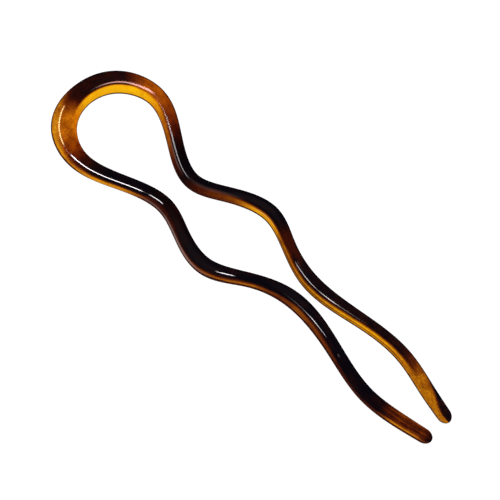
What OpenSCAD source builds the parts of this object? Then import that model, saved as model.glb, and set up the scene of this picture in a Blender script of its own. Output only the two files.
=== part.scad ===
// French hair pin: one U-shaped pin, cut from acetate sheet, waved, bowed and tumbled smooth.
// X runs from the head to the tips, Y across the prongs, Z up from the surface it rests on.
// Distances along the pin run from the front of the head, and spreads lie between centre lines.

/* [Whole pin] */
// Length from the front of the head to the tips
pin_l = 115.8; // [108:0.1:130]
// Thickness of the stock, top to underside
stock_t = 2.9; // [2:0.1:3.6]
// Squareness of the section: 2 is an ellipse, and more is squarer
section_power = 2.4; // [2:0.1:4]

/* [Head] */
// Front of the head to the neck
neck_x = 34.7; // [30:0.1:40]
// Front of the head to its widest place
side_x = 13.4; // [10:0.1:16]
// Spread of the head at its widest
head_w = 27.5; // [22:0.1:34]
// Spread at the neck
neck_w = 10.2; // [8:0.1:14]
// Width of the stock round the head
head_stock = 6; // [4.6:0.1:7]
// Rise of the front of the head above the neck
head_lift = 3.7; // [0:0.1:6]

/* [Prongs] */
// Neck to the fullest place of the first wave
first_wave_l = 18.1; // [14:0.1:24]
// Neck to the waist, where the prongs come closest
waist_l = 36.3; // [32:0.1:42]
// Waist to the fullest place of the second wave
second_wave_l = 27.3; // [20:0.1:30]
// Spread at the first wave
first_wave_w = 22.8; // [16:0.1:30]
// Spread at the waist
waist_w = 7; // [5.5:0.1:12]
// Spread at the second wave
second_wave_w = 14.6; // [10:0.1:22]
// Spread at the tips
tip_w = 6.8; // [5:0.1:14]
// Width of the stock along the prongs
prong_stock = 3.9; // [3:0.1:4.6]
// Width of the stock at the tips
tip_stock = 3.2; // [2.4:0.1:4]
// Length of the rounding at each tip
tip_round = 2.2; // [1.2:0.1:3]
// Rise of the waist above the neck and the tips, which touch the surface
arch_h = 4.3; // [0:0.1:7]

/* [Hidden] */

// Points round one section, rings along the whole curve and rings in each rounded tip
SECTION_POINTS = 20;
CURVE_RINGS = 150;
TIP_RINGS = 6;
END_ANGLE = 8;

// Columns of a station: place along the pin, half spread, width of the stock, rise
PLACE = 0;
SPREAD = 1;
STOCK = 2;
RISE = 3;

// Stock and centre line at the front of the head, and the waist's place
front_stock = head_stock * 0.95;
front_x = front_stock / 2;
waist_x = neck_x + waist_l;

// Turns of one prong, where it stops widening or narrowing
turns = [
    [front_x, 0, front_stock, head_lift],
    [side_x, head_w / 2, head_stock * 0.87, head_lift * 0.84],
    [neck_x, neck_w / 2, prong_stock * 1.05, 0],
    [neck_x + first_wave_l, first_wave_w / 2, prong_stock * 1.11, arch_h * 0.57],
    [waist_x, waist_w / 2, prong_stock * 1.09, arch_h],
    [waist_x + second_wave_l, second_wave_w / 2, prong_stock * 0.93, arch_h * 0.4],
    [pin_l, tip_w / 2, tip_stock, 0]
];

// Flanks, one between each two turns. Place, spread and rise are shares of the way to the
// next turn, and the width is in millimetres.
flanks = [
    [0.41, 0.8, head_stock, 0.56],
    [0.58, 0.6, prong_stock * 0.98, 0.6],
    [0.44, 0.52, prong_stock * 0.98, 0.35],
    [0.48, 0.53, prong_stock * 0.88, 0.79],
    [0.54, 0.47, prong_stock * 0.93, 0.23],
    [0.53, 0.46, prong_stock * 0.93, 0.79]
];

function part_way(a, b, share) = a + (b - a) * share;

function flank(k) =
    let (
        from = turns[k],
        to = turns[k + 1],
        row = flanks[k]
    )
    [
        part_way(from[PLACE], to[PLACE], row[PLACE]),
        part_way(from[SPREAD], to[SPREAD], row[SPREAD]),
        row[STOCK],
        part_way(from[RISE], to[RISE], row[RISE])
    ];

last_turn = len(turns) - 1;
prong = concat([for (k = [0:last_turn - 1]) each [turns[k], flank(k)]], [turns[last_turn]]);

// The whole centre line, from the tip on the -Y side round the head to the other tip.
// A knot is [x, y, z, width of the stock].
function knot(station, side) =
    [station[PLACE] - pin_l / 2, side * station[SPREAD], station[RISE], station[STOCK]];

prong_end = len(prong) - 1;
knots = concat(
    [for (k = [prong_end:-1:1]) knot(prong[k], -1)],
    [for (k = [0:prong_end]) knot(prong[k], 1)]
);
last_knot = len(knots) - 1;

// Distance of each knot along the pin, measured straight from knot to knot in plan
function plan_step(k) = norm([for (axis = [0, 1]) knots[k][axis] - knots[k - 1][axis]]);
function run_to(k) =
    k == 0 ? [0] :
    let (before = run_to(k - 1))
    concat(before, before[k - 1] + plan_step(k));
run = run_to(last_knot);
run_l = run[last_knot];

// A smooth curve through the knots has a bend at each one, which is its second derivative.
// The forward pass holds, for each knot, its share of the next bend and what is left over.
function forward_pass(k) =
    k == 0 ? [[0, 0 * knots[0]]] :
    let (
        rows = forward_pass(k - 1),
        before = rows[k - 1],
        span_in = run[k] - run[k - 1],
        span_out = run[k + 1] - run[k],
        slope_in = (knots[k] - knots[k - 1]) / span_in,
        slope_out = (knots[k + 1] - knots[k]) / span_out,
        weight = 2 * (span_in + span_out) - span_in * before[0]
    )
    concat(rows, [[span_out / weight, (6 * (slope_out - slope_in) - span_in * before[1]) / weight]]);

passed = forward_pass(last_knot - 1);

function bends_from(k) =
    k == last_knot ? [0 * knots[0]] :
    let (after = bends_from(k + 1))
    concat([passed[k][1] - passed[k][0] * after[0]], after);

bends = bends_from(0);

function span_at(s) = max([for (k = [0:last_knot - 1]) if (run[k] <= s) k]);

// Centre line and width at a distance s along the pin
function centre_at(s) =
    let (
        k = span_at(s),
        span = run[k + 1] - run[k],
        b = (s - run[k]) / span,
        a = 1 - b
    )
    a * knots[k] + b * knots[k + 1]
    + ((pow(a, 3) - a) * bends[k] + (pow(b, 3) - b) * bends[k + 1]) * span * span / 6;

// Direction of the centre line at a distance s along the pin
function direction_at(s) =
    let (
        k = span_at(s),
        span = run[k + 1] - run[k],
        b = (s - run[k]) / span,
        a = 1 - b,
        slope = (knots[k + 1] - knots[k]) / span
            + ((3 * b * b - 1) * bends[k + 1] - (3 * a * a - 1) * bends[k]) * span / 6,
        along = [slope[0], slope[1], slope[2]]
    )
    along / norm(along);

// Rings along the pin: [distance along the pin, size as a share of the full section]
tip_rings = [
    for (i = [0:TIP_RINGS - 1])
        let (angle = part_way(END_ANGLE, 90, i / TIP_RINGS))
        [tip_round * (1 - cos(angle)), sin(angle)]
];
rings = concat(
    tip_rings,
    [for (i = [0:CURVE_RINGS]) [part_way(tip_round, run_l - tip_round, i / CURVE_RINGS), 1]],
    [for (i = [TIP_RINGS - 1:-1:0]) [run_l - tip_rings[i][0], tip_rings[i][1]]]
);

function rounded(value) = sign(value) * pow(abs(value), 2 / section_power);

// Corners of one ring: across the pin in plan, and up square to its direction
function ring_points(ring) =
    let (
        centre = centre_at(ring[0]),
        along = direction_at(ring[0]),
        across = [-along[1], along[0], 0] / norm([along[0], along[1]]),
        up = cross(along, across)
    )
    [
        for (i = [0:SECTION_POINTS - 1])
            let (angle = 360 * i / SECTION_POINTS)
            [centre[0], centre[1], centre[2]]
            + ring[1] * (across * rounded(cos(angle)) * centre[3] + up * rounded(sin(angle)) * stock_t) / 2
    ];

hung_points = [for (ring = rings) each ring_points(ring)];
surface_z = min([for (point = hung_points) point[2]]);
pin_points = [for (point = hung_points) point - [0, 0, surface_z]];

last_ring = len(rings) - 1;
side_faces = [
    for (r = [0:last_ring - 1])
        for (i = [0:SECTION_POINTS - 1])
            let (
                here = r * SECTION_POINTS,
                next = (i + 1) % SECTION_POINTS
            )
            each [
                [here + i, here + SECTION_POINTS + i, here + next],
                [here + next, here + SECTION_POINTS + i, here + SECTION_POINTS + next]
            ]
];
end_faces = [
    [for (i = [0:SECTION_POINTS - 1]) i],
    [for (i = [SECTION_POINTS - 1:-1:0]) last_ring * SECTION_POINTS + i]
];

// The pin: one solid swept along the waved and bowed centre line, with rounded tips
module hair_pin() {
    color([0.3, 0.13, 0.04])
        polyhedron(points = pin_points, faces = concat(side_faces, end_faces));
}

hair_pin();
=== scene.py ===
import math

import bpy
import numpy as np
from mathutils import Matrix, Vector


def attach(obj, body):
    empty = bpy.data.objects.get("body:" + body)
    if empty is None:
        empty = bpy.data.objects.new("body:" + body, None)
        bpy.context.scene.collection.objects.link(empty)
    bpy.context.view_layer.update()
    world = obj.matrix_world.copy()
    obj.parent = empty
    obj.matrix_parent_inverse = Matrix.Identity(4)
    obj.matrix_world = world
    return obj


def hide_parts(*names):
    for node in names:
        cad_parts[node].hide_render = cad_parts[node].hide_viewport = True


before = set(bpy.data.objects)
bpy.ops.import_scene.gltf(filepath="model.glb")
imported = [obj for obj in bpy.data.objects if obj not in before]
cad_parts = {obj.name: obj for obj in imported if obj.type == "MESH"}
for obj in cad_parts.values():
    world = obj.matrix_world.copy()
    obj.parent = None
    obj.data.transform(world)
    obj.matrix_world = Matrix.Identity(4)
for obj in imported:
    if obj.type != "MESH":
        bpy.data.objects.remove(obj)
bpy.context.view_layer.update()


# The pin. The real one is sawn from a sheet of cellulose acetate, waved and bowed while warm,
# then tumbled for days until every edge is round and the whole surface shines. It is one piece:
# nothing is joined to it, and its pattern runs through the thickness of the sheet.

# Sizes of the whole pin, its head and its prongs, as the construction gives them.
# Places run from the front of the head, and spreads lie between centre lines.
pin_l = 0.1158
stock_t = 0.0029
section_power = 2.4

neck_x = 0.0347
side_x = 0.0134
head_w = 0.0275
neck_w = 0.0102
head_stock = 0.006
head_lift = 0.0037

first_wave_l = 0.0181
waist_l = 0.0363
second_wave_l = 0.0273
first_wave_w = 0.0228
waist_w = 0.007
second_wave_w = 0.0146
tip_w = 0.0068
prong_stock = 0.0039
tip_stock = 0.0032
tip_round = 0.0022
arch_h = 0.0043

front_stock = head_stock * 0.95
waist_x = neck_x + waist_l

# Turns of one prong: place along the pin, half spread, width of the stock, rise.
turns = [
    (front_stock / 2, 0, front_stock, head_lift),
    (side_x, head_w / 2, head_stock * 0.87, head_lift * 0.84),
    (neck_x, neck_w / 2, prong_stock * 1.05, 0),
    (neck_x + first_wave_l, first_wave_w / 2, prong_stock * 1.11, arch_h * 0.57),
    (waist_x, waist_w / 2, prong_stock * 1.09, arch_h),
    (waist_x + second_wave_l, second_wave_w / 2, prong_stock * 0.93, arch_h * 0.4),
    (pin_l, tip_w / 2, tip_stock, 0),
]

# Flanks between the turns: shares of the way for place, spread and rise, and the width itself.
flanks = [
    (0.41, 0.80, head_stock, 0.56),
    (0.58, 0.60, prong_stock * 0.98, 0.60),
    (0.44, 0.52, prong_stock * 0.98, 0.35),
    (0.48, 0.53, prong_stock * 0.88, 0.79),
    (0.54, 0.47, prong_stock * 0.93, 0.23),
    (0.53, 0.46, prong_stock * 0.93, 0.79),
]


def part_way(a, b, share):
    return a + (b - a) * share


def stations_of_prong():
    """Turns and flanks in order, from the front of the head to the tip."""
    stations = []
    for here, after, (place, spread, width, rise) in zip(turns, turns[1:], flanks):
        stations.append(here)
        stations.append((
            part_way(here[0], after[0], place),
            part_way(here[1], after[1], spread),
            width,
            part_way(here[3], after[3], rise),
        ))
    return stations + [turns[-1]]


def knots_round_pin():
    """Centre line and width from the tip on the -Y side, round the head, to the other tip."""
    stations = stations_of_prong()
    one_side = [(x - pin_l / 2, -y, z, w) for x, y, w, z in stations[:0:-1]]
    other_side = [(x - pin_l / 2, y, z, w) for x, y, w, z in stations]
    return np.array(one_side + other_side)


knots = knots_round_pin()
plan_steps = np.linalg.norm(np.diff(knots[:, :2], axis=0), axis=1)
run = np.concatenate([[0], np.cumsum(plan_steps)])
run_l = run[-1]


def curve_bends(values, places):
    """Second derivatives of the natural cubic spline through the knots."""
    count = len(places)
    spans = np.diff(places)
    slopes = np.diff(values, axis=0) / spans[:, None]
    weights = np.eye(count)
    change = np.zeros_like(values)
    for k in range(1, count - 1):
        weights[k, k - 1:k + 2] = spans[k - 1], 2 * (spans[k - 1] + spans[k]), spans[k]
        change[k] = 6 * (slopes[k] - slopes[k - 1])
    return np.linalg.solve(weights, change)


bends = curve_bends(knots, run)


def centre_line(places):
    """Centre points, directions and widths of the stock at distances along the pin."""
    k = np.clip(np.searchsorted(run, places, side="right") - 1, 0, len(run) - 2)
    span = (run[k + 1] - run[k])[:, None]
    b = (places - run[k])[:, None] / span
    a = 1 - b
    value = (a * knots[k] + b * knots[k + 1]
             + ((a ** 3 - a) * bends[k] + (b ** 3 - b) * bends[k + 1]) * span ** 2 / 6)
    slope = ((knots[k + 1] - knots[k]) / span
             + ((3 * b ** 2 - 1) * bends[k + 1] - (3 * a ** 2 - 1) * bends[k]) * span / 6)
    along = slope[:, :3] / np.linalg.norm(slope[:, :3], axis=1)[:, None]
    return value[:, :3], along, value[:, 3]


# Rings along the pin and points round each ring. Each tip closes in a few rings and one point.
CURVE_RINGS = 700
TIP_RINGS = 14
SECTION_POINTS = 120

tip_angles = np.linspace(0, math.pi / 2, TIP_RINGS + 1)[1:-1]
tip_places = tip_round * (1 - np.cos(tip_angles))
tip_sizes = np.sin(tip_angles)
curve_places = np.linspace(tip_round, run_l - tip_round, CURVE_RINGS)
ring_places = np.concatenate([tip_places, curve_places, run_l - tip_places[::-1]])
ring_sizes = np.concatenate([tip_sizes, np.ones(CURVE_RINGS), tip_sizes[::-1]])

around = np.linspace(0, 2 * math.pi, SECTION_POINTS, endpoint=False)


def rounded(values):
    return np.sign(values) * np.abs(values) ** (2 / section_power)


# Side runs from -1 inside the loop to 1 outside it, and height from -1 underneath to 1 on top.
side = rounded(np.cos(around))
height = rounded(np.sin(around))


def pin_points():
    """Every ring's points, then one point at each tip."""
    centres, along, widths = centre_line(ring_places)
    across = np.stack([-along[:, 1], along[:, 0], np.zeros(len(along))], axis=1)
    across /= np.linalg.norm(across, axis=1)[:, None]
    up = np.cross(along, across)
    reach_across = (ring_sizes * widths)[:, None] * side / 2
    reach_up = ring_sizes[:, None] * stock_t * height / 2
    rings = (centres[:, None] + across[:, None] * reach_across[..., None]
             + up[:, None] * reach_up[..., None])
    ends, _, _ = centre_line(np.array([0.0, run_l]))
    return np.concatenate([rings.reshape(-1, 3), ends])


def pin_faces():
    """Four-sided faces between rings, and a fan of triangles at each tip."""
    rings = len(ring_places)
    faces = []
    for r in range(rings - 1):
        for i in range(SECTION_POINTS):
            j = (i + 1) % SECTION_POINTS
            here, there = r * SECTION_POINTS, (r + 1) * SECTION_POINTS
            faces.append((here + i, here + j, there + j, there + i))
    first_end, last_end = rings * SECTION_POINTS, rings * SECTION_POINTS + 1
    last_ring = (rings - 1) * SECTION_POINTS
    for i in range(SECTION_POINTS):
        j = (i + 1) % SECTION_POINTS
        faces.append((first_end, j, i))
        faces.append((last_end, last_ring + i, last_ring + j))
    return faces


points = pin_points()
points[:, 2] -= points[:, 2].min()

pin_mesh = bpy.data.meshes.new("hair_pin_body")
pin_mesh.from_pydata(points.tolist(), [], pin_faces())
pin_mesh.shade_smooth()
pin = bpy.data.objects.new("hair_pin_body", pin_mesh)
bpy.context.scene.collection.objects.link(pin)


# The pattern. The sheet is pressed from dark and clear acetate. The dark lies as a layer on top,
# with amber below it down the sides, and in a few places the top layer is missing and the amber
# shows right across. Underneath, a dark layer is painted as shade: it shows as a thin dark rim
# along the edges.
# Places are millimetres from the first tip. Angles are degrees round the section, from 0 on the
# outer side over 90 on top to 180 on the inner side. Tints run from 0, clear amber, to 1, black.
top_layer = [
    # place, tint
    (0, 1.0), (1, 0.90), (2, 0.78), (3.5, 0.70), (9, 0.68), (12, 0.80), (14, 0.95),
    (18, 1.0), (72, 1.0), (78, 0.94), (83, 0.96), (88, 1.0), (99, 1.0),
    (102, 0.95), (105, 0.82), (107.5, 0.66), (110, 0.48), (114, 0.37), (118, 0.35),
    (120.5, 0.52), (123, 0.82), (126, 0.90), (137, 0.89), (139.5, 0.62), (142, 0.42),
    (146, 0.42), (149, 0.50), (153, 0.64), (156, 0.80), (159, 0.96), (161, 1.0), (191, 1.0),
    (195, 0.82), (201, 0.84), (206, 0.97), (214, 0.94), (228, 0.92), (234, 0.86), (237, 0.64),
    (240, 0.47), (244, 0.41), (249, 0.42), (251, 0.52), (252, 0.90),
]
outer_side = [
    # place, angle where the top layer ends, how softly, tint below it
    (0, 22, 30, 0.80), (2, 24, 30, 0.46), (4, 26, 28, 0.28), (11, 26, 28, 0.28),
    (14, 20, 24, 0.66), (18, 18, 20, 0.84), (24, 26, 28, 0.74), (29, 36, 32, 0.64),
    (33, 44, 40, 0.56), (38, 52, 46, 0.55), (43, 52, 46, 0.55), (48, 42, 36, 0.65),
    (51, 36, 30, 0.58), (54, 36, 38, 0.43), (60, 38, 40, 0.40), (64, 38, 36, 0.44),
    (69, 34, 36, 0.62), (74, 36, 38, 0.74), (78, 50, 40, 0.78), (88, 52, 40, 0.77),
    (90, 32, 32, 0.60), (92, 24, 26, 0.42), (95, 24, 30, 0.27), (102, 27, 32, 0.24),
    (108, 38, 40, 0.32), (115, 60, 40, 0.28), (120, 55, 40, 0.34), (124, 45, 24, 0.80),
    (128, 45, 20, 0.95), (136, 45, 20, 0.95), (142, 48, 20, 0.60), (150, 52, 20, 0.60),
    (156, 58, 20, 0.92), (160, 50, 20, 1.0), (234, 52, 20, 1.0), (240, 54, 20, 0.92),
    (243, 66, 26, 0.95), (246, 90, 30, 0.96), (248, 108, 30, 0.96), (250, 130, 30, 0.96),
    (252, 168, 28, 0.96),
]
inner_side = [
    # place, angle where the top layer ends, how softly, tint below it
    (0, 116, 20, 0.85), (1.5, 114, 20, 0.68), (4, 112, 20, 0.54), (9, 112, 20, 0.54),
    (13, 124, 20, 0.85), (18, 150, 20, 1.0), (100, 150, 20, 1.0), (105, 145, 24, 0.84),
    (109, 132, 24, 0.48), (115, 124, 24, 0.32), (121, 118, 18, 0.20), (126, 116, 14, 0.09),
    (134, 116, 13, 0.05), (139, 118, 14, 0.03), (144, 125, 20, 0.08), (148, 128, 26, 0.20),
    (153, 130, 28, 0.34), (158, 131, 30, 0.52), (162, 130, 30, 0.70), (166, 126, 30, 0.92),
    (170, 107, 34, 0.77), (174, 107, 34, 0.65), (178, 119, 36, 0.54), (181, 133, 38, 0.30),
    (184, 141, 38, 0.06), (187, 142, 38, 0.0), (191, 144, 38, 0.0), (196, 141, 36, 0.34),
    (203, 139, 36, 0.36), (207, 140, 34, 0.24), (218, 136, 36, 0.14), (227, 132, 36, 0.13),
    (234, 130, 28, 0.26), (241, 128, 26, 0.35), (252, 126, 24, 0.36),
]
# Painted shade: a dark layer underneath that shows as a thin dark rim along the edges.
painted_dark_rim = [
    # place, angle where it ends on the outer side, angle where it begins on the inner side
    (0, 8, 138), (12, 6, 138), (18, 5, 140), (28, 9, 140), (34, 12, 140), (40, 8, 140),
    (50, 9, 140), (58, 8, 140), (63, 12, 140), (69, 5, 140), (88, 4, 140), (93, -14, 140),
    (102, -14, 140), (106, 4, 140), (109, 9, 152), (115, 16, 160), (122, 26, 166),
    (130, 38, 176), (140, 46, 180), (228, 46, 181), (252, 46, 184),
]
DARK_RIM_TINT, DARK_RIM_SOFT = 0.80, 10

# How far the amber leans from yellow towards red, in the top layer and down the inner side.
warmth = [
    # place, on top, on the inner side
    (0, 0.3, 0.3), (12, 0.3, 0.3), (34, 0.0, 0.0), (70, 0.0, 0.0), (78, 0.6, 0.0),
    (88, 0.6, 0.0), (92, 0.0, 0.0), (103, 0.3, 0.3), (107, 1.0, 1.0), (110, 0.9, 1.0),
    (114, 0.6, 0.9), (119, 0.6, 0.7), (123, 0.4, 0.0), (138, 0.5, 0.0), (142, 0.8, 0.0),
    (148, 0.9, 0.2), (153, 1.0, 0.3), (160, 1.0, 0.3), (168, 0.2, 0.2), (190, 0.0, 0.0),
    (196, 0.5, 0.0), (204, 0.0, 0.0), (252, 0.0, 0.0),
]

# A thin dark seam low on the inner side, between two streaks of amber.
seam = [
    # place, angle, half width, tint added
    (182, 166, 9, 0.0), (187, 167, 9, 0.26), (206, 167, 9, 0.40), (232, 166, 10, 0.46),
    (238, 164, 8, 0.0),
]


def smooth_step(values):
    t = np.clip(values, 0, 1)
    return t * t * (3 - 2 * t)


def chart(rows, places, column):
    """A column of one of the tables, at distances along the pin in millimetres."""
    table = np.array(rows, dtype=float)
    return np.interp(places, table[:, 0], table[:, column])


def past(edges, angles, softness):
    """0 before the edges and 1 past them, with a change as wide as the softness."""
    return smooth_step((angles - edges) / softness + 0.5)


def inside(mark, places, angles):
    """1 in the middle of an oval mark, 0 on its rim and less outside it."""
    place, half_length, angle, half_width = mark
    return 1 - ((places - place) / half_length) ** 2 - ((angles - angle) / half_width) ** 2


def layer_shares(places, angles):
    """Whether points are past the outer edge of the top layer, and before its inner edge."""
    past_outer = past(chart(outer_side, places, 1), angles, chart(outer_side, places, 2))
    past_inner = past(chart(inner_side, places, 1), angles, chart(inner_side, places, 2))
    return past_outer, 1 - past_inner


def tint_at(places, angles):
    """Depth of the tint at points of the surface."""
    past_outer, before_inner = layer_shares(places, angles)
    tint = part_way(chart(outer_side, places, 3), chart(top_layer, places, 1), past_outer)
    tint = part_way(chart(inner_side, places, 3), tint, before_inner)
    from_seam = np.abs(angles - chart(seam, places, 1)) / chart(seam, places, 2)
    tint = tint + chart(seam, places, 3) * smooth_step(1 - from_seam)
    # The painted dark rim underneath, shade along the edges painted into the tint.
    above_outer = past(chart(painted_dark_rim, places, 1), angles, DARK_RIM_SOFT)
    above_inner = 1 - past(chart(painted_dark_rim, places, 2), angles, DARK_RIM_SOFT)
    return part_way(np.maximum(tint, DARK_RIM_TINT), tint, above_outer * above_inner)


def warmth_at(places, angles):
    """How far the amber leans towards red at points of the surface."""
    past_outer, before_inner = layer_shares(places, angles)
    lean = part_way(chart(warmth, places, 2), chart(warmth, places, 1), before_inner)
    return lean * past_outer


# Pale marks in the dark: a nick near the first tip, and painted sheen, that is pale reflections
# and faint painted highlight lines put into the colour on the outer side, the dark top and the
# inner side.
nick_and_painted_sheens = [
    # place, half length, angle, half width, strength
    (28.3, 0.3, 72, 6, 0.36),
    (74, 12, 12, 15, 0.46),
    (86, 6, 10, 12, 0.24),
    (161, 5, 134, 9, 0.20),
    (187.5, 6, 152, 9, 0.12),
    (173, 9, 112, 18, 0.05),
    (71, 14, 74, 34, 0.010),
    (184, 10, 98, 26, 0.012),
    (46, 8, 90, 30, 0.006),
]


def nick_and_sheen_at(places, angles):
    """Share of the nick and of the painted sheen at points of the surface."""
    nick_and_sheen = np.zeros_like(places)
    for *mark, strength in nick_and_painted_sheens:
        nick_and_sheen = np.maximum(nick_and_sheen, strength * smooth_step(inside(mark, places, angles)))
    return nick_and_sheen


# How strongly the grain of the mix shows, which is most where the dark thins out.
grain_strength = [
    # place, mottling, streaks
    (0, 1.6, 3.0), (11, 1.6, 3.0), (16, 1.0, 1.4), (34, 1.0, 1.6), (62, 1.0, 1.6), (66, 0.7, 0.8),
    (103, 0.7, 0.7), (107, 2.6, 0.6), (119, 2.4, 0.4), (122, 1.7, 0.5), (126, 0.8, 0.6),
    (136, 0.8, 0.6), (141, 1.8, 0.5), (156, 1.6, 0.5), (160, 0.8, 0.6), (190, 0.8, 0.8),
    (196, 1.5, 1.0), (234, 1.3, 0.8), (238, 2.4, 0.4), (252, 2.4, 0.4),
]

# The polish is full down the sides and underneath. On top it is charted along each shoulder, so
# that the lamps draw a bright line only on the stretches that have one in the photo.
outer_polish = [
    # place, share of full gloss
    (33, 0), (33.8, 0.2), (36, 0.3), (37.2, 0.5), (38.5, 0.42), (39.6, 0.16), (41, 0.06),
    (46, 0.01), (48, 0), (58.8, 0), (59.5, 0.65), (62.1, 0.65), (63, 0), (84.6, 0),
    (85.2, 0.65), (88.6, 0.65), (89.4, 0.03), (90.8, 0.03), (91.4, 0.92), (97, 0.92),
    (99, 0.78), (103, 0.84), (107.4, 0.95), (108.2, 0.03), (109.2, 0.03), (110.2, 0.1),
    (110.8, 0.9), (119.4, 0.9), (120.6, 0),
]
inner_polish = [
    # place, share of full gloss
    (127, 0), (129, 0.1), (132.5, 0.62), (138, 0.82), (143.5, 1), (145, 0.2), (148, 0.06),
    (151, 0.14), (153, 0.18), (157, 0.18), (161, 0.19), (165.6, 0.2), (167, 0),
    (201.6, 0), (203.4, 0.2), (206, 0.36), (208.6, 0.28), (210, 0.05), (211.5, 0.28),
    (213, 0.5), (214.6, 0.38), (216, 0.09), (222, 0.02), (224, 0),
]
SHOULDERS_MEET, SHOULDER_SOFT = 77, 8
OUTER_SIDE_BELOW, INNER_SIDE_BEYOND, SIDE_SOFT = 30, 156, 16

# Dull patches round the head, beside its bright lines.
dull_patches = [
    # place, half length, angle, half width
    (106.8, 2.5, 84, 9),
    (142, 9, 132, 19),
    (144.5, 4, 88, 12),
]
PATCH_RIM = 1 / 3


def polish_at(places, angles):
    """Share of full gloss at points of the surface."""
    inwards = past(SHOULDERS_MEET, angles, SHOULDER_SOFT)
    on_top = part_way(chart(outer_polish, places, 1), chart(inner_polish, places, 1), inwards)
    for patch in dull_patches:
        on_top = on_top * (1 - smooth_step(inside(patch, places, angles) / PATCH_RIM))
    on_outer_side = 1 - past(OUTER_SIDE_BELOW, angles, SIDE_SOFT)
    on_inner_side = past(INNER_SIDE_BEYOND, angles, SIDE_SOFT)
    return np.maximum(on_top, np.maximum(on_outer_side, on_inner_side))


# Each point's place, offset from the middle of the section, and angle. Tip points come last.
MM = 0.001
ring_of = np.repeat(np.arange(len(ring_places)), SECTION_POINTS)
half_widths = centre_line(ring_places)[2] * ring_sizes / 2
point_place = np.concatenate([ring_places[ring_of], [0, run_l]]) / MM
point_across = np.concatenate([np.outer(half_widths, side).ravel(), [0, 0]]) / MM
point_above = np.concatenate([np.outer(ring_sizes, height * stock_t / 2).ravel(), [0, 0]]) / MM
angles_round = (np.degrees(around) + 90) % 360 - 90
point_angle = np.concatenate([np.tile(angles_round, len(ring_places)), [90, 90]])

for name, values in (
    ("along", point_place),
    ("across", point_across),
    ("above", point_above),
    ("tint", tint_at(point_place, point_angle)),
    ("nick_and_sheen", nick_and_sheen_at(point_place, point_angle)),
    ("warmth", warmth_at(point_place, point_angle)),
    ("mottling", chart(grain_strength, point_place, 1)),
    ("streaks", chart(grain_strength, point_place, 2)),
    ("polish", polish_at(point_place, point_angle)),
):
    attribute = pin_mesh.attributes.new(name, "FLOAT", "POINT")
    attribute.data.foreach_set("value", values.astype(np.float32))


# The finish is a deep polish over the pattern: mottled where dark and clear acetate mixed,
# streaked along the pin, with the faint waviness and hairlines that tumbling leaves.
acetate = bpy.data.materials.new("tortoiseshell_acetate")
acetate.use_nodes = True
tree = acetate.node_tree
tree.nodes.clear()


def node(kind, place, **settings):
    made = tree.nodes.new(kind)
    made.location = place
    for key, value in settings.items():
        setattr(made, key, value)
    return made


def attribute_node(name, place):
    return node("ShaderNodeAttribute", place, attribute_name=name)


def math_node(operation, place, first, second):
    made = node("ShaderNodeMath", place, operation=operation)
    for socket, value in zip(made.inputs, (first, second)):
        if isinstance(value, (int, float)):
            socket.default_value = value
        else:
            tree.links.new(value, socket)
    return made.outputs[0]


along_out = attribute_node("along", (-1600, 200)).outputs["Fac"]
across_out = attribute_node("across", (-1600, 0)).outputs["Fac"]
above_out = attribute_node("above", (-1600, -200)).outputs["Fac"]
tint_out = attribute_node("tint", (-700, 500)).outputs["Fac"]
nick_and_sheen_out = attribute_node("nick_and_sheen", (0, 500)).outputs["Fac"]
mottling_out = attribute_node("mottling", (-900, 600)).outputs["Fac"]
streaks_out = attribute_node("streaks", (-900, 0)).outputs["Fac"]
warmth_out = attribute_node("warmth", (0, 700)).outputs["Fac"]
polish_out = attribute_node("polish", (200, 0)).outputs["Fac"]

# Grain coordinates: millimetres along the pin, across it and above its middle
grain_at = node("ShaderNodeCombineXYZ", (-1400, 100))
tree.links.new(along_out, grain_at.inputs["X"])
tree.links.new(across_out, grain_at.inputs["Y"])
tree.links.new(above_out, grain_at.inputs["Z"])


def grain_noise(place, size, stretch, detail):
    """Noise from -0.5 to 0.5 of a size in millimetres, lengthened along the pin by stretch."""
    mapping = node("ShaderNodeMapping", (place[0] - 200, place[1]))
    mapping.inputs["Scale"].default_value = (1 / stretch, 1, 1)
    tree.links.new(grain_at.outputs[0], mapping.inputs["Vector"])
    noise = node("ShaderNodeTexNoise", place)
    noise.inputs["Scale"].default_value = 1 / size
    noise.inputs["Detail"].default_value = detail
    tree.links.new(mapping.outputs[0], noise.inputs["Vector"])
    return math_node("SUBTRACT", (place[0] + 200, place[1]), noise.outputs["Fac"], 0.5)


def add_share(place, total, values, share):
    """total + values * share"""
    made = math_node("MULTIPLY_ADD", place, values, share)
    tree.links.new(total, made.node.inputs[2])
    return made


# The mottling is clouds with specks in them, and the streaks are long and fine. All three are
# added to the tint.
CLOUD_TINT, SPECK_TINT, STREAK_TINT = 0.20, 0.16, 0.20
clouds = grain_noise((-1000, 400), 1.8, 1.2, 3)
specks = grain_noise((-1000, -100), 0.35, 1.2, 2)
streaks = grain_noise((-1000, 150), 0.50, 16.0, 2)

mottled = math_node("MULTIPLY", (-700, 300), clouds, CLOUD_TINT)
mottled = add_share((-550, 300), mottled, specks, SPECK_TINT)
streaked = math_node("MULTIPLY", (-550, 100), streaks, STREAK_TINT)
mottled_tint = add_share((-350, 300), tint_out, mottled, mottling_out)
grainy_tint = add_share((-200, 300), mottled_tint, streaked, streaks_out)

tint_colours = node("ShaderNodeValToRGB", (0, 300))
ramp = tint_colours.color_ramp
ramp.interpolation = "LINEAR"
stops = [
    # tint, colour
    (0.00, (1.000, 0.520, 0.004)),
    (0.15, (0.820, 0.350, 0.004)),
    (0.30, (0.530, 0.180, 0.004)),
    (0.45, (0.300, 0.080, 0.003)),
    (0.60, (0.145, 0.028, 0.003)),
    (0.75, (0.052, 0.0075, 0.0028)),
    (0.90, (0.0125, 0.0036, 0.0036)),
    (1.00, (0.0030, 0.0022, 0.0042)),
]
while len(ramp.elements) < len(stops):
    ramp.elements.new(0.5)
for element, (position, colour) in zip(ramp.elements, stops):
    element.position = position
    element.color = (*colour, 1)
tree.links.new(grainy_tint, tint_colours.inputs["Fac"])

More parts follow.
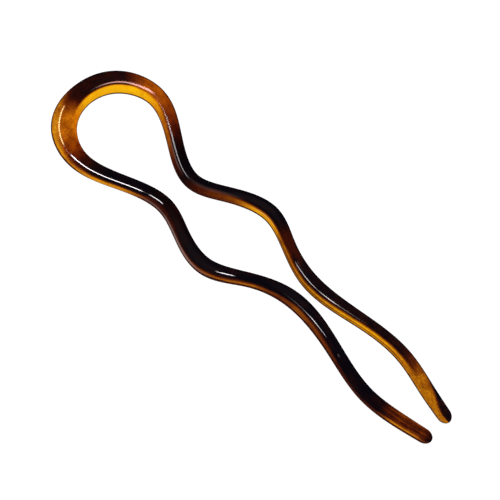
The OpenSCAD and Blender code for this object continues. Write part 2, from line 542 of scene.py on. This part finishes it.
RED_LEAN = (1, 0.6, 0.4)
# Pale colour of the nick and of the painted sheen.
PALE_NICK_AND_SHEEN = (0.42, 0.28, 0.24)
reddened = node("ShaderNodeMix", (150, 500), data_type="RGBA", blend_type="MULTIPLY")
reddened.inputs["B"].default_value = (*RED_LEAN, 1)
tree.links.new(warmth_out, reddened.inputs["Factor"])
tree.links.new(tint_colours.outputs["Color"], reddened.inputs["A"])
# Mixes in the nick and the painted sheen, pale reflections painted into the base colour.
with_nick_and_sheen = node("ShaderNodeMix", (300, 300), data_type="RGBA")
with_nick_and_sheen.inputs["B"].default_value = (*PALE_NICK_AND_SHEEN, 1)
tree.links.new(nick_and_sheen_out, with_nick_and_sheen.inputs["Factor"])
tree.links.new(reddened.outputs["Result"], with_nick_and_sheen.inputs["A"])

# Hairlines run along the pin and take up to a tenth of the gloss.
HAIRLINE_LOSS = 0.1
hairlines = grain_noise((-600, -300), 0.15, 20.0, 2)
unscratched = math_node("MULTIPLY_ADD", (-200, -300), hairlines, HAIRLINE_LOSS)
unscratched.node.inputs[2].default_value = 1 - HAIRLINE_LOSS / 2
gloss = math_node("MULTIPLY", (350, -100), polish_out, unscratched)

# The waviness is long and shallow, and bends the bright lines a little.
waviness = grain_noise((-600, -550), 2.5, 3.0, 0)
bump = node("ShaderNodeBump", (0, -500))
bump.inputs["Strength"].default_value = 0.04
bump.inputs["Distance"].default_value = 0.0002
tree.links.new(waviness, bump.inputs["Height"])

# All the gloss is in the coat, so where the coat is charted away the surface is dull.
shader = node("ShaderNodeBsdfPrincipled", (500, 100))
shader.inputs["IOR"].default_value = 1.5
shader.inputs["Specular IOR Level"].default_value = 0
shader.inputs["Roughness"].default_value = 0.3
shader.inputs["Coat IOR"].default_value = 1.5
shader.inputs["Coat Roughness"].default_value = 0.085
tree.links.new(gloss, shader.inputs["Coat Weight"])
tree.links.new(with_nick_and_sheen.outputs["Result"], shader.inputs["Base Color"])
tree.links.new(bump.outputs["Normal"], shader.inputs["Normal"])
tree.links.new(bump.outputs["Normal"], shader.inputs["Coat Normal"])
output = node("ShaderNodeOutputMaterial", (800, 100))
tree.links.new(shader.outputs[0], output.inputs["Surface"])

pin_mesh.materials.append(acetate)
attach(pin, "root")
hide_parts("hair_pin")


# The table. It is a lit white sheet, as under a product photograph, and has no reflection in
# the pin.
TABLE_HALF = 3.0
TABLE_GLOW = 1.0
table_mesh = bpy.data.meshes.new("table")
table_mesh.from_pydata(
    [(-TABLE_HALF, -TABLE_HALF, 0), (TABLE_HALF, -TABLE_HALF, 0),
     (TABLE_HALF, TABLE_HALF, 0), (-TABLE_HALF, TABLE_HALF, 0)],
    [], [(0, 1, 2, 3)],
)
table = bpy.data.objects.new("table", table_mesh)
bpy.context.scene.collection.objects.link(table)
table_paint = bpy.data.materials.new("white_sheet")
table_paint.use_nodes = True
paint = table_paint.node_tree.nodes["Principled BSDF"]
paint.inputs["Base Color"].default_value = (0.1, 0.1, 0.1, 1)
paint.inputs["Roughness"].default_value = 0.9
paint.inputs["Emission Color"].default_value = (1, 1, 1, 1)
paint.inputs["Emission Strength"].default_value = TABLE_GLOW
table_mesh.materials.append(table_paint)
table.visible_glossy = False


# The light. Narrow strip lamps hang over the pin, and their reflections are the thin bright lines
# along its shoulders. The two out past the head are warm. An even white fill lights the pattern,
# and the gloss mirrors only a dim sky in its place.
LAMP_Z = 0.25
aim = Vector((-0.02, 0, 0.004))
strip_lamps = [
    # name, middles of its two ends in plan, width, radiance, colour
    ("strip_neck", (-0.130, -0.022), (-0.078, 0.013), 0.026, 58, (1, 0.94, 0.97)),
    ("strip_along", (-0.078, 0.013), (0.098, 0.015), 0.028, 58, (1, 0.94, 0.97)),
    ("strip_back", (-0.070, 0.088), (-0.083, 0.168), 0.015, 28, (1, 0.54, 0.47)),
    ("strip_head", (-0.142, 0.000), (-0.205, 0.105), 0.026, 28, (1, 0.70, 0.29)),
]
for name, start, end, width, radiance, colour in strip_lamps:
    start, end = Vector((*start, LAMP_Z)), Vector((*end, LAMP_Z))
    middle = (start + end) / 2
    lamp_data = bpy.data.lights.new(name, "AREA")
    lamp_data.shape = "RECTANGLE"
    lamp_data.size = (end - start).length
    lamp_data.size_y = width
    lamp_data.energy = radiance * math.pi * lamp_data.size * width
    lamp_data.color = colour
    lamp = bpy.data.objects.new(name, lamp_data)
    towards = (middle - aim).normalized()
    across = towards.cross((end - start).normalized()).normalized()
    along = across.cross(towards)
    lamp.matrix_world = Matrix((along, across, towards)).transposed().to_4x4()
    lamp.matrix_world.translation = middle
    lamp.visible_diffuse = False
    bpy.context.scene.collection.objects.link(lamp)

world = bpy.data.worlds.new("studio")
bpy.context.scene.world = world
world.use_nodes = True
sky = world.node_tree
sky.nodes.clear()
light_path = sky.nodes.new("ShaderNodeLightPath")
fill = sky.nodes.new("ShaderNodeBackground")
fill.inputs["Color"].default_value = (1, 1, 1, 1)
fill.inputs["Strength"].default_value = 1.0
dim = sky.nodes.new("ShaderNodeBackground")
dim.inputs["Color"].default_value = (0.012, 0.014, 0.020, 1)
mix = sky.nodes.new("ShaderNodeMixShader")
sky_out = sky.nodes.new("ShaderNodeOutputWorld")
sky.links.new(light_path.outputs["Is Glossy Ray"], mix.inputs["Fac"])
sky.links.new(fill.outputs[0], mix.inputs[1])
sky.links.new(dim.outputs[0], mix.inputs[2])
sky.links.new(mix.outputs[0], sky_out.inputs["Surface"])


# The camera looks down from the -Y side, rolled so that the pin lies across the picture. The
# point aimed_at shows at the pixel aimed_at_px, counted from the upper left.
CAMERA_BEARING = math.radians(16.10)
CAMERA_RISE = math.radians(55.01)
CAMERA_ROLL = math.radians(-29.0)
CAMERA_DISTANCE = 0.4869
CAMERA_LENS = 153.2
SENSOR = 36
FRAME_PX = 500
aimed_at = Vector((-0.0003, 0, 0.00145))
aimed_at_px = (251.23, 259.27)

sight = Vector((
    math.sin(CAMERA_BEARING) * math.cos(CAMERA_RISE),
    -math.cos(CAMERA_BEARING) * math.cos(CAMERA_RISE),
    math.sin(CAMERA_RISE),
))
level = Vector((math.cos(CAMERA_BEARING), math.sin(CAMERA_BEARING), 0))
upright = sight.cross(level)
camera_right = level * math.cos(CAMERA_ROLL) - upright * math.sin(CAMERA_ROLL)
camera_up = level * math.sin(CAMERA_ROLL) + upright * math.cos(CAMERA_ROLL)

camera_data = bpy.data.cameras.new("camera")
camera_data.lens = CAMERA_LENS
camera_data.sensor_width = SENSOR
camera_data.clip_start = 0.01
camera_data.clip_end = 20
camera_data.shift_x = (FRAME_PX / 2 - aimed_at_px[0]) / FRAME_PX
camera_data.shift_y = (aimed_at_px[1] - FRAME_PX / 2) / FRAME_PX
camera = bpy.data.objects.new("camera", camera_data)
placed = Matrix((camera_right, camera_up, sight)).transposed().to_4x4()
placed.translation = aimed_at + sight * CAMERA_DISTANCE
camera.matrix_world = placed
bpy.context.scene.collection.objects.link(camera)
bpy.context.scene.camera = camera
bpy.context.scene.view_settings.view_transform = "Standard"
